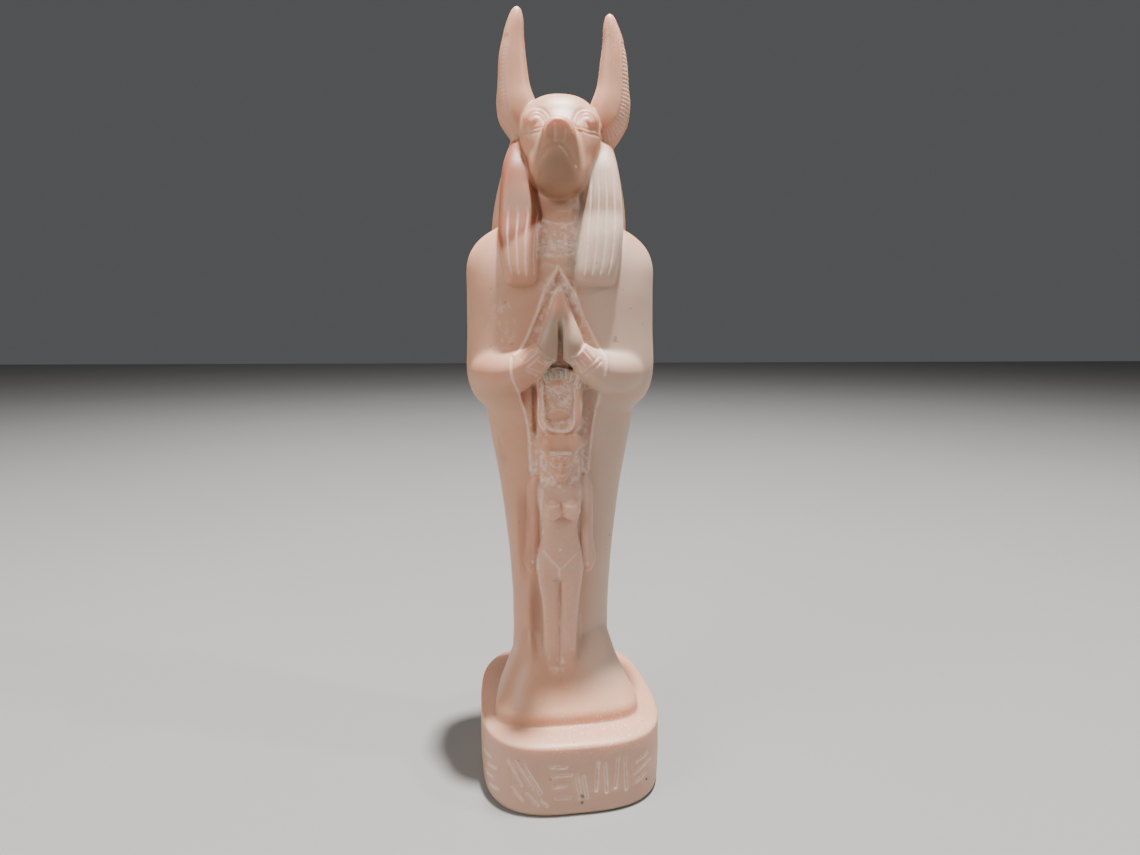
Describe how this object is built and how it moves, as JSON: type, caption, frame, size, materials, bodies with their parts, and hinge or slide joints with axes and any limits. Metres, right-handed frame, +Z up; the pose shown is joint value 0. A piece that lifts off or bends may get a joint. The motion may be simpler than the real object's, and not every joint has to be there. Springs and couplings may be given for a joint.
{
  "type": "jackal-headed funerary statue",
  "caption": "Small one-piece stone figure of a mummy-wrapped god with a jackal's head and tall ears, hands pressed together over a small goddess in relief, on a low rounded plinth.",
  "frame": {"origin": "centre of the outer box's bottom face, on the table under the figure", "axes": "+Z up through the figure, +X to the viewer's right, -Y the front that the face, hands and goddess look out of"},
  "size_m": [0.0629, 0.0726, 0.25],
  "materials": {
    "stone": "pale pinkish-beige translucent stone, softly polished, with chalky matt engraving and tooled grounds"
  },
  "bodies": {
    "root": {"statue": "stone"}
  },
  "joints": []
}
